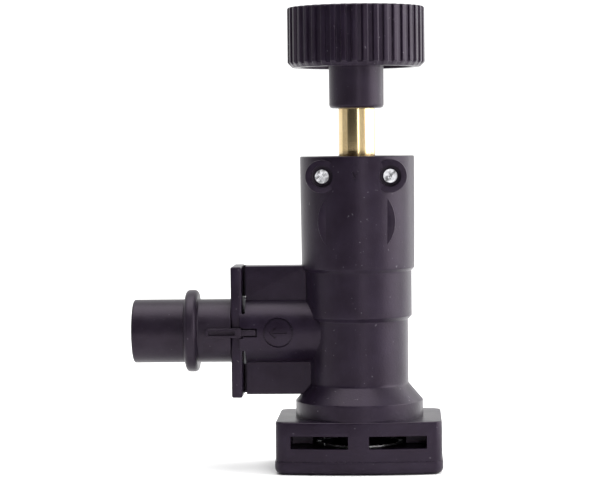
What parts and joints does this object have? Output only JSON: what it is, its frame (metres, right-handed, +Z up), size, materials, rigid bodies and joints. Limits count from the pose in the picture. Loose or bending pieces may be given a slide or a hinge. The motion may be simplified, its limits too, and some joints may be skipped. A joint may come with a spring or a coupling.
{
  "type": "boiler filling valve",
  "caption": "Hand-turned angle stop valve with ribbed handwheel, brass spindle, push-fit pipe socket below and beaded quick-fit spigot at the side.",
  "frame": {"origin": "on the valve's axis at the underside of the base ring, at the centre of the pipe socket's mouth", "axes": "+Z up along the spindle, the side spigot points to -X, and the front with the staple's cut ends faces -Y"},
  "size_m": [0.0682, 0.0309, 0.1016],
  "materials": {
    "black_nylon": "satin, glass-filled moulding",
    "grey_black_nylon": "matt, fine grain",
    "natural_acetal": "smooth moulding",
    "brass": "turned and polished",
    "bright_steel": "drawn wire and sheet, cut ends rough",
    "black_rubber": "smooth seal rubber"
  },
  "bodies": {
    "body": {"valve_body": "black_nylon", "base_ring": "black_nylon", "socket_backing_ring": "black_nylon", "socket_grab_ring": "bright_steel", "socket_spacer_ring": "grey_black_nylon", "socket_oring": "black_rubber", "inlet_strainer": "natural_acetal", "gland_bush": "brass", "gland_oring": "black_rubber", "gland_staple": "bright_steel", "spindle_wiper": "black_rubber", "side_spigot": "grey_black_nylon", "spigot_oring": "black_rubber", "spigot_fork_clip": "bright_steel", "check_cage": "natural_acetal", "check_guide": "natural_acetal", "check_spring": "bright_steel"},
    "disc": {"disc_holder": "brass", "disc_washer": "black_rubber", "disc_washer_screw": "brass"},
    "wheel": {"spindle": "brass", "spindle_oring_lower": "black_rubber", "spindle_oring_upper": "black_rubber", "spindle_clip": "bright_steel", "handwheel": "black_nylon", "handwheel_washer": "bright_steel", "handwheel_screw": "bright_steel"},
    "poppet": {"check_poppet": "natural_acetal", "check_poppet_seal": "black_rubber"}
  },
  "joints": [
    {"name": "spindle_rise", "type": "slide", "parent": "body", "child": "disc", "axis": [0, 0, 1], "range_m": [-0.0045, 0]},
    {"name": "handwheel_turn", "type": "hinge", "parent": "disc", "child": "wheel", "pos_m": [0, 0, 0.0889], "axis": [0, 0, 1], "range_deg": [-1080, 0]},
    {"name": "check_valve_open", "type": "slide", "parent": "body", "child": "poppet", "axis": [-1, 0, 0], "range_m": [0, 0.0022], "stiffness_N_per_m": 60, "springref_m": -0.003, "deforming": ["check_spring"]}
  ],
  "couplings": [
    {"joint": "handwheel_turn", "follows": "spindle_rise", "rad_per_m": 4188.8}
  ]
}
